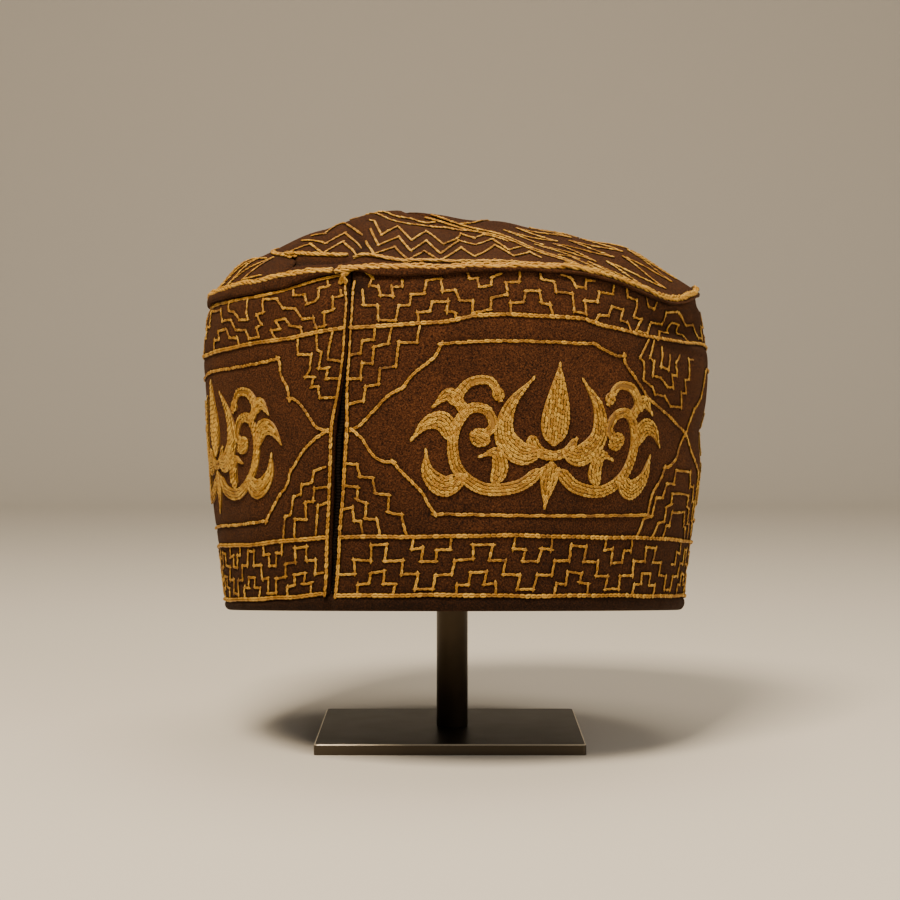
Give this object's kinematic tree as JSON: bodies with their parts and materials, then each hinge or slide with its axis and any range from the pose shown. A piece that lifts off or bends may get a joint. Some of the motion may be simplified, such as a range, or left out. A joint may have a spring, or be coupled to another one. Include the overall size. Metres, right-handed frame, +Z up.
{
  "type": "dervish cap on a metal display stand",
  "caption": "Tall round felt cap with a domed crown of gores, gold chain-stitch embroidery and one front seam, on a plain stand with a rectangular foot plate.",
  "frame": {"origin": "middle of the foot plate's underside, on the surface that the stand rests on", "axes": "+Z up along the post, -Y towards the front of the cap, +X to the right as seen from the front"},
  "size_m": [0.2081, 0.2086, 0.2147],
  "materials": {
    "brown_felt": "matte nubby wool felt",
    "dark_lining": "matte dark cloth",
    "gold_cord": "soft sheen of silk thread",
    "dark_metal": "satin blackened steel"
  },
  "bodies": {
    "root": {"wall_band": "brown_felt", "hem_binding": "brown_felt", "seam_backing": "dark_lining", "crown_gore_front": "brown_felt", "crown_gore_right": "brown_felt", "crown_gore_back": "brown_felt", "crown_gore_left": "brown_felt", "ridge_braid": "gold_cord", "gore_braid": "gold_cord", "seam_knot": "gold_cord", "stand_base": "dark_metal", "stand_post": "dark_metal", "stand_head": "dark_metal"}
  },
  "joints": []
}
